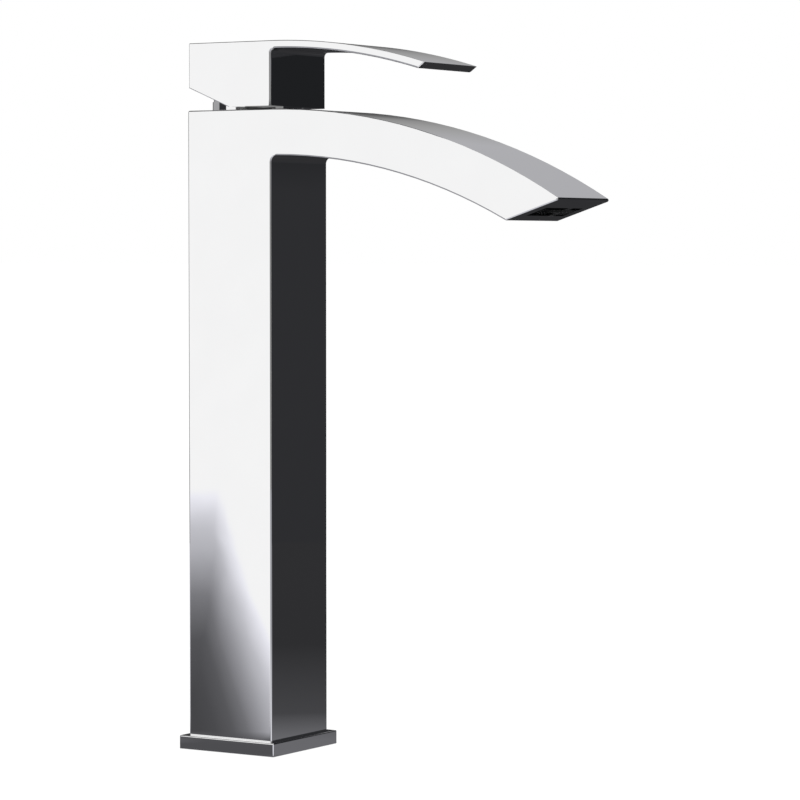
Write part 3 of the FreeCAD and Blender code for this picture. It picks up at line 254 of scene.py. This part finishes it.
def handle_outline():
    """The side outline: each point with the round of the edge after it, and of the edge across it."""
    front = -HALF_HANDLE
    reach = LEVER_LOWER - ROOT_ROUND
    centre = (front - ROOT_ROUND, LEVER_CENTRE[1] + math.sqrt(reach ** 2 - ROOT_ROUND ** 2))
    grown = LEVER_LOWER / reach
    root = tuple(middle + (place - middle) * grown for place, middle in zip(centre, LEVER_CENTRE))
    upper = arc(LEVER_CENTRE, (front, HANDLE_TOP), LEVER_TIP, LEVER_STEPS)
    under = arc(LEVER_CENTRE, LEVER_HEEL, root, LEVER_STEPS)
    under += arc(centre, root, (front, centre[1]), ROOT_STEPS) + [(front, centre[1])]
    outline = [(RELIEF_HIGH, EDGE_ROUND, 0.0), ((HALF_HANDLE, HANDLE_TOP), EDGE_ROUND, EDGE_ROUND)]
    outline += [(place, EDGE_ROUND, 0.0) for place in upper]
    outline += [(LEVER_TIP, EDGE_ROUND, EDGE_ROUND), (under[0], UNDER_ROUND, EDGE_ROUND)]
    outline += [(place, UNDER_ROUND, 0.0) for place in under[1:]]
    outline += [((front, HANDLE_BASE), 0.0, 0.0), (RELIEF_LOW, EDGE_ROUND, 0.0)]
    return outline


def link_mesh(name, shape):
    bmesh.ops.recalc_face_normals(shape, faces=shape.faces)
    mesh = bpy.data.meshes.new(name)
    shape.to_mesh(mesh)
    shape.free()
    piece = bpy.data.objects.new(name, mesh)
    scene.collection.objects.link(piece)
    return piece


def handle_block():
    """The outline carried across the handle, its edges marked with their rounds."""
    shape = bmesh.new()
    weight = shape.edges.layers.float.new("bevel_weight_edge")
    outline = handle_outline()
    rows = [[shape.verts.new((side * HALF_HANDLE * MM, y * MM, z * MM)) for (y, z), _, _ in outline]
            for side in (-1, 1)]
    for row in rows:
        shape.faces.new(row)
    for number, (_, along, across) in enumerate(outline):
        after = (number + 1) % len(outline)
        shape.faces.new([rows[0][number], rows[0][after], rows[1][after], rows[1][number]])
        for row in rows:
            shape.edges.get((row[number], row[after]))[weight] = along / UNDER_ROUND
        shape.edges.get((rows[0][number], rows[1][number]))[weight] = across / UNDER_ROUND
    return link_mesh("handle_casting", shape)


def turned_cutter(name, profile):
    """A profile of (radius, z), turned round the upright axis and closed flat at both ends."""
    shape = bmesh.new()
    turns = [math.tau * step / TURNED_STEPS for step in range(TURNED_STEPS)]
    rings = [[shape.verts.new((radius * math.cos(turn) * MM, radius * math.sin(turn) * MM, z * MM))
              for turn in turns] for radius, z in profile]
    for lower, upper in zip(rings, rings[1:]):
        for step in range(TURNED_STEPS):
            after = (step + 1) % TURNED_STEPS
            shape.faces.new([lower[step], lower[after], upper[after], upper[step]])
    shape.faces.new(rings[0])
    shape.faces.new(rings[-1])
    return link_mesh(name, shape)


def drill(name, radius, span, height):
    """A round cutter along Y, from one end of its span to the other."""
    start, end = span
    shape = bmesh.new()
    middle = Matrix.Translation(Vector((0.0, (start + end) / 2, height)) * MM)
    bmesh.ops.create_cone(shape, cap_ends=True, segments=DRILL_STEPS, radius1=radius * MM,
                          radius2=radius * MM, depth=(end - start) * MM,
                          matrix=middle @ Matrix.Rotation(math.pi / 2, 4, "X"))
    return link_mesh(name, shape)


def square_cutter(name, half, low, high):
    """An upright square cutter on the axis."""
    shape = bmesh.new()
    size = Matrix.Diagonal((2 * half * MM, 2 * half * MM, (high - low) * MM, 1.0))
    middle = Matrix.Translation((0.0, 0.0, (low + high) / 2 * MM))
    bmesh.ops.create_cube(shape, size=1.0, matrix=middle @ size)
    return link_mesh(name, shape)


def settle(piece):
    """Turn the piece's modifiers into its mesh."""
    graph = bpy.context.evaluated_depsgraph_get()
    mesh = bpy.data.meshes.new_from_object(piece.evaluated_get(graph),
                                           preserve_all_data_layers=True, depsgraph=graph)
    mesh.name = piece.name
    piece.modifiers.clear()
    piece.data = mesh


def handle_casting():
    """The block with its lever, hollow from below: boss, spindle's socket and the screw's holes."""
    piece = handle_block()
    bevel = piece.modifiers.new("rounds", "BEVEL")
    bevel.limit_method, bevel.width, bevel.segments = "WEIGHT", UNDER_ROUND * MM, ROUND_STEPS
    bevel.use_clamp_overlap = False
    cavity = [(CAVITY_RADIUS, HANDLE_BASE - OVERCUT), (CAVITY_RADIUS, CAVITY_ROOF),
              (BOSS_RADIUS, CAVITY_ROOF), (BOSS_RADIUS, BOSS_LOW)]
    cutters = [
        turned_cutter("cavity_cutter", cavity),
        square_cutter("socket_cutter", SOCKET_HALF, BOSS_LOW - OVERCUT, SOCKET_ROOF),
        drill("thread_cutter", THREAD_RADIUS, THREAD_SPAN, SCREW_HEIGHT),
        drill("access_cutter", ACCESS_RADIUS, ACCESS_SPAN, SCREW_HEIGHT),
    ]
    for cutter in cutters:
        cut = piece.modifiers.new(cutter.name, "BOOLEAN")
        cut.operation, cut.solver, cut.object = "DIFFERENCE", "EXACT", cutter
    settle(piece)
    for cutter in cutters:
        bpy.data.objects.remove(cutter)
    for face in piece.data.polygons:
        face.use_smooth = True
    piece.data.set_sharp_from_angle(angle=math.radians(SHARP_ANGLE))
    flat = piece.modifiers.new("flat_faces", "WEIGHTED_NORMAL")
    flat.keep_sharp, flat.weight = True, FLAT_WEIGHT
    settle(piece)
    piece.data.materials.clear()
    piece.data.materials.append(CHROME)
    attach(piece, "lever")
    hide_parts("lever_handle")


handle_casting()


# Reflector cards round the object, glowing sheets that paint the reflections in the chrome; in metres,
# with azimuths in degrees from +X

def grey(level):
    return (level, level, level)


def greys(stops):
    return [(place, grey(level)) for place, level in stops]


def glow(name, tone):
    """An emission material for a card; tone gives its colour from the place on the card."""
    shader = new_shader(name)
    place = shader.add("ShaderNodeNewGeometry").outputs["Position"]
    split = shader.add("ShaderNodeSeparateXYZ", {"Vector": place})
    colour = tone(shader, *(split.outputs[axis] for axis in "XYZ"))
    return shader.surface(shader.emission(Color=colour, Strength=1.0))


def card(name, points, faces, tone):
    """A glowing card that only polished metal sees, painting a reflection."""
    mesh = bpy.data.meshes.new(name)
    mesh.from_pydata(points, [], faces)
    mesh.materials.append(glow(name, tone))
    piece = bpy.data.objects.new(name, mesh)
    scene.collection.objects.link(piece)
    for ray in ("camera", "diffuse", "shadow", "volume_scatter"):
        setattr(piece, f"visible_{ray}", False)


def square(reach, height):
    """The corners of a level square round the axis."""
    return [(reach * x, reach * y, height) for x, y in ((-1, -1), (1, -1), (1, 1), (-1, 1))]


WALL_STEPS = 24


def ring_points(radius, height, start, end):
    """Points round the upright axis, from one azimuth to another."""
    turns = [math.radians(start + (end - start) * step / WALL_STEPS) for step in range(WALL_STEPS + 1)]
    return [(radius * math.cos(turn), radius * math.sin(turn), height) for turn in turns]


def wall(name, start, end, first, second, tone):
    """A curved card between two rings, each given as its radius and height."""
    points = ring_points(*first, start, end) + ring_points(*second, start, end)
    row = WALL_STEPS + 1
    faces = [(step, step + 1, row + step + 1, row + step) for step in range(WALL_STEPS)]
    card(name, points, faces, tone)


def upright(stops, high):
    """Bands of tone up a wall of a given height; each stop is a height and a colour."""
    return lambda shader, x, y, z: shader.ramp_over(z, 0.0, high, stops)


def distance(shader, x, y):
    """How far a place is from the upright axis."""
    squares = [shader.math("MULTIPLY", side, side) for side in (x, y)]
    return shader.math("SQRT", shader.math("ADD", *squares))


def around(shader, turn, stops):
    """Grey levels by azimuth; turn is the azimuth from -180 to 180 degrees as a share of it all."""
    return shader.ramp(turn, [((angle + 180.0) / 360.0, colour) for angle, colour in greys(stops)])


# Painted reflection of the ground: the card's grey levels by azimuth, with painted contact shade near
# the base and rings further out. Each ring takes over between two distances.
FRONT_LEVELS = [(-180, 0.6), (-140, 0.45), (-75, 0.25), (-52, 0.031)]
BACK_LEVELS = [(34, 0.26), (95, 0.45), (178, 0.5)]
CONTACT_SHADE_LEVELS = [(-150, 0.083), (-120, 0.155), (20, 0.15), (60, 0.1), (110, 0.083)]
GROUND_REFLECTION_RINGS = [
    (0.05, 0.135, [(-150, 0.15), (-85, 0.1), (-52, 0.064), (20, 0.06), (60, 0.2), (95, 0.45),
                   (136, 0.45), (150, 0.12)]),
    (0.12, 0.42, FRONT_LEVELS + [(16, 0.03)] + BACK_LEVELS),
    (0.56, 0.76, FRONT_LEVELS + [(-24, 0.031), (-15, 0.3), (-1, 0.3), (8, 0.03), (22, 0.03)]
     + BACK_LEVELS),
]

# The painted reflection that the column's left side mirrors: a band across the card, bent a little with
# distance, that is bright in front and dark behind, and a rise to white far out.
STREAK_SLOPE, STREAK_LEAN, STREAK_CURVE = 0.4632, -0.2456, 0.00963
STREAK_LOW, STREAK_HIGH = -0.08, 0.02
STREAK_LEVELS = [(-0.061, 1.0), (-0.047, 0.555), (-0.035, 0.308), (-0.0277, 0.176), (-0.02, 0.107),
                 (-0.011, 0.077), (0.001, 0.061)]
RISE_REACH = 1.8
RISE_LEVELS = [(0.2, 0.066), (0.46, 0.096), (0.71, 0.206), (1.05, 0.492), (1.25, 0.576), (1.6, 0.93),
               (1.7, 1.0)]
STREAK_SECTOR = [(135, 0.0), (139, 1.0), (170, 1.0), (178, 0.0)]
STREAK_START, STREAK_FULL = 0.055, 0.085

# A painted bright reflection: the bright quarter of the card in front of the base plate's near corner
CORNER_EDGE, CORNER_FULL = -0.0262, -0.0282
CORNER_LEVELS = [(0.05, 0.8), (0.5, 0.35)]
GROUND_REFLECTION_BLUE = 1.075


def streak_tone(shader, x, y, far):
    bend = shader.math("MULTIPLY_ADD", far, STREAK_CURVE, STREAK_LEAN)
    line = shader.math("MULTIPLY_ADD", x, STREAK_SLOPE, y)
    across = shader.math("ADD", line, shader.math("MULTIPLY", far, bend))
    streak = shader.ramp_over(across, STREAK_LOW, STREAK_HIGH, greys(STREAK_LEVELS))
    rise = shader.ramp_over(far, 0.0, RISE_REACH, greys(RISE_LEVELS))
    return shader.math("MAXIMUM", streak, rise)


def painted_ground_tone(shader, x, y, z):
    """Painted reflection of the ground by direction and distance: painted contact shade by the base,
    dark to the right, pale at the back and in front.
    """
    far = distance(shader, x, y)
    turn = shader.share(shader.math("ARCTAN2", y, x), -math.pi, math.pi)
    tone = around(shader, turn, CONTACT_SHADE_LEVELS)
    for start, full, levels in GROUND_REFLECTION_RINGS:
        tone = shader.blend(shader.share(far, start, full), tone, around(shader, turn, levels))
    sector = shader.math("MULTIPLY", around(shader, turn, STREAK_SECTOR),
                         shader.share(far, STREAK_START, STREAK_FULL))
    tone = shader.blend(sector, tone, streak_tone(shader, x, y, far))
    corner = shader.math("MULTIPLY", *(shader.share(side, CORNER_EDGE, CORNER_FULL) for side in (x, y)))
    tone = shader.blend(corner, tone, shader.ramp(far, greys(CORNER_LEVELS)))
    blue = shader.math("MINIMUM", shader.math("MULTIPLY", tone, GROUND_REFLECTION_BLUE), 1.0)
    cool = shader.add("ShaderNodeCombineColor", {"Red": tone, "Green": tone, "Blue": blue})
    return cool.outputs["Color"]


def lid_tone(shader, x, y, z):
    """The card overhead: dark at its rim and pale in the middle."""
    return shader.ramp(distance(shader, x, y), greys([(0.3, 0.4), (0.45, 0.1), (0.55, 0.03)]))


# Painted reflections: the dark greys that the column's front and the handle mirror from the cards, and
# the grey that the spout's top mirrors
COLUMN_REFLECTION_DARK, HANDLE_REFLECTION_DARK = (0.0292, 0.0296, 0.0325), (0.0142, 0.015, 0.0165)
EDGE_DARK = grey(0.05)
SPOUT_REFLECTION_GREY = (0.445, 0.445, 0.465)
RIM_DARK = (0.98, grey(0.1))


def rear_tones(low):
    """A wall that is one tone low down and turns higher up to the painted reflection that the spout's
    top mirrors.
    """
    return [(0.36, low), (0.44, grey(0.15)), (0.48, grey(0.27)), (0.54, grey(0.35)),
            (0.64, SPOUT_REFLECTION_GREY), (0.85, SPOUT_REFLECTION_GREY), RIM_DARK]


GROUND_CARD_REACH, GROUND_CARD_HEIGHT = 1.7, 0.0002
# The ground card paints the chrome's reflections below, with painted contact shade by the base.
card("painted_ground_card", square(GROUND_CARD_REACH, GROUND_CARD_HEIGHT), [(0, 1, 2, 3)], painted_ground_tone)

WALL_REACH, WALL_TOP = 1.1, 1.2
for name, start, end, tones in (
        ("front_flag", -76, 2, [(0.27, COLUMN_REFLECTION_DARK), (0.33, HANDLE_REFLECTION_DARK)]),
        ("right_card", 2, 36, rear_tones(COLUMN_REFLECTION_DARK)),
        ("edge_card", 36, 56, rear_tones(EDGE_DARK)),
        ("back_card", 56, 99, [(0.0, grey(0.33)), (0.85, SPOUT_REFLECTION_GREY), RIM_DARK]),
        ("left_card", 99, 127, rear_tones(COLUMN_REFLECTION_DARK))):
    wall(name, start, end, (WALL_REACH, 0.0), (WALL_REACH, WALL_TOP), upright(tones, WALL_TOP))

LID_INNER = 0.3
wall("top_card", 20, 138, (LID_INNER, WALL_TOP), (WALL_REACH, WALL_TOP), lid_tone)

# A grey card behind the camera, painting the reflections on the faces turned to it
NEAR_REACH, NEAR_TOP = 1.7, 1.6
NEAR_TONES = greys([(0.0, 0.24), (0.5, 0.27), (NEAR_TOP, 0.5)])
wall("near_card", 183, 284, (NEAR_REACH, 0.0), (NEAR_REACH, NEAR_TOP), upright(NEAR_TONES, NEAR_TOP))

# A dark strip that only the gap under the handle mirrors: painted shade in the gap
GAP_REACH, GAP_LOW, GAP_HIGH, GAP_SCALE = 1.6, 0.345, 0.357, 0.4
GAP_SHADE_TONES = greys([(GAP_LOW, 0.012), (GAP_HIGH, 0.016)])
wall("gap_shade_card", 157, 262, (GAP_REACH, GAP_LOW), (GAP_REACH, GAP_HIGH), upright(GAP_SHADE_TONES, GAP_SCALE))


# Floor, world and lamps; in metres and watts

FLOOR_REACH, FLOOR_HEIGHT = 40.0, -0.0003
FLOOR_PALE = greys([(0.3, 0.78), (0.7, 0.8)])
FLOOR_FAINT = greys([(0.3, 0.3), (0.7, 0.31)])
FLOOR_LIFT = 0.84
SOFT_LIGHT, WHITE = 0.62, 1.0


def studio_floor():
    """A plain pale floor, white to the camera, with the object's soft shadow on it; clear from below."""
    mesh = bpy.data.meshes.new("floor")
    mesh.from_pydata(square(FLOOR_REACH, FLOOR_HEIGHT), [], [(0, 1, 2, 3)])
    floor = bpy.data.objects.new("floor", mesh)
    scene.collection.objects.link(floor)
    shader = new_shader("floor")
    camera, polished = shader.ray_kinds()
    shade = shader.noise(shader.place(), scale=3.0, detail=2.0)
    tint = shader.blend(camera, shader.ramp(shade, FLOOR_PALE), shader.ramp(shade, FLOOR_FAINT))
    plain = shader.add("ShaderNodeBsdfDiffuse", {"Color": tint}).outputs[0]
    lift = shader.emission(Strength=shader.math("MULTIPLY", camera, FLOOR_LIFT))
    lit = shader.add("ShaderNodeAddShader", {0: plain, 1: lift}).outputs[0]
    upper = shader.mix(polished, lit, shader.emission(Strength=WHITE))
    below = shader.add("ShaderNodeNewGeometry").outputs["Backfacing"]
    clear = shader.add("ShaderNodeBsdfTransparent").outputs[0]
    mesh.materials.append(shader.surface(shader.mix(below, upper, clear)))


def studio_world():
    """White to the camera and in polished metal, and a soft even light on everything else."""
    shader = Shader(bpy.data.worlds.new("studio"), "ShaderNodeOutputWorld")
    seen = shader.math("MAXIMUM", *shader.ray_kinds())
    lights = [shader.add("ShaderNodeBackground", {"Color": (1.0, 1.0, 1.0, 1.0), "Strength": strength})
              for strength in (SOFT_LIGHT, WHITE)]
    scene.world = shader.surface(shader.mix(seen, *(light.outputs[0] for light in lights)))


LAMP_TARGET, LAMP_SIZE = (0.0, -0.05, 0.16), 1.2


def soft_lamp(name, place, power):
    """A square lamp turned to the object's middle, which polished metal doesn't mirror."""
    data = bpy.data.lights.new(name, "AREA")
    data.shape = "SQUARE"
    data.size = LAMP_SIZE
    data.energy = power
    lamp = bpy.data.objects.new(name, data)
    scene.collection.objects.link(lamp)
    lamp.location = place
    lamp.rotation_mode = "QUATERNION"
    lamp.rotation_quaternion = (Vector(LAMP_TARGET) - Vector(place)).to_track_quat("-Z", "Y")
    lamp.visible_glossy = False


studio_floor()
studio_world()
soft_lamp("key_lamp", (-0.9, -1.1, 1.5), power=16.0)
soft_lamp("fill_lamp", (1.2, 0.5, 1.1), power=6.0)


# Camera at the photograph's viewing angle; in millimetres and degrees

CAMERA_PLACE = (-1265.2155, -873.2022, 225.2954)
CAMERA_AZIMUTH, CAMERA_PITCH = -57.7811, 2.5347
CAMERA_LENS, CAMERA_SENSOR = 153.047, 36.0
CLIP_START, CLIP_END = 0.05, 100.0


def photo_camera():
    """A long lens to the left of the spout, tipped slightly down."""
    azimuth, pitch = math.radians(CAMERA_AZIMUTH), math.radians(CAMERA_PITCH)
    data = bpy.data.cameras.new("photo_camera")
    data.sensor_width, data.lens = CAMERA_SENSOR, CAMERA_LENS
    data.clip_start, data.clip_end = CLIP_START, CLIP_END
    camera = bpy.data.objects.new("photo_camera", data)
    scene.collection.objects.link(camera)
    level = math.cos(pitch)
    back = Vector((math.sin(azimuth) * level, -math.cos(azimuth) * level, math.sin(pitch)))
    right = Vector((math.cos(azimuth), math.sin(azimuth), 0.0))
    turn = Matrix((right, back.cross(right), back)).transposed().to_4x4()
    camera.matrix_world = Matrix.Translation(Vector(CAMERA_PLACE) * MM) @ turn
    scene.camera = camera


photo_camera()
scene.view_settings.view_transform = "Standard"
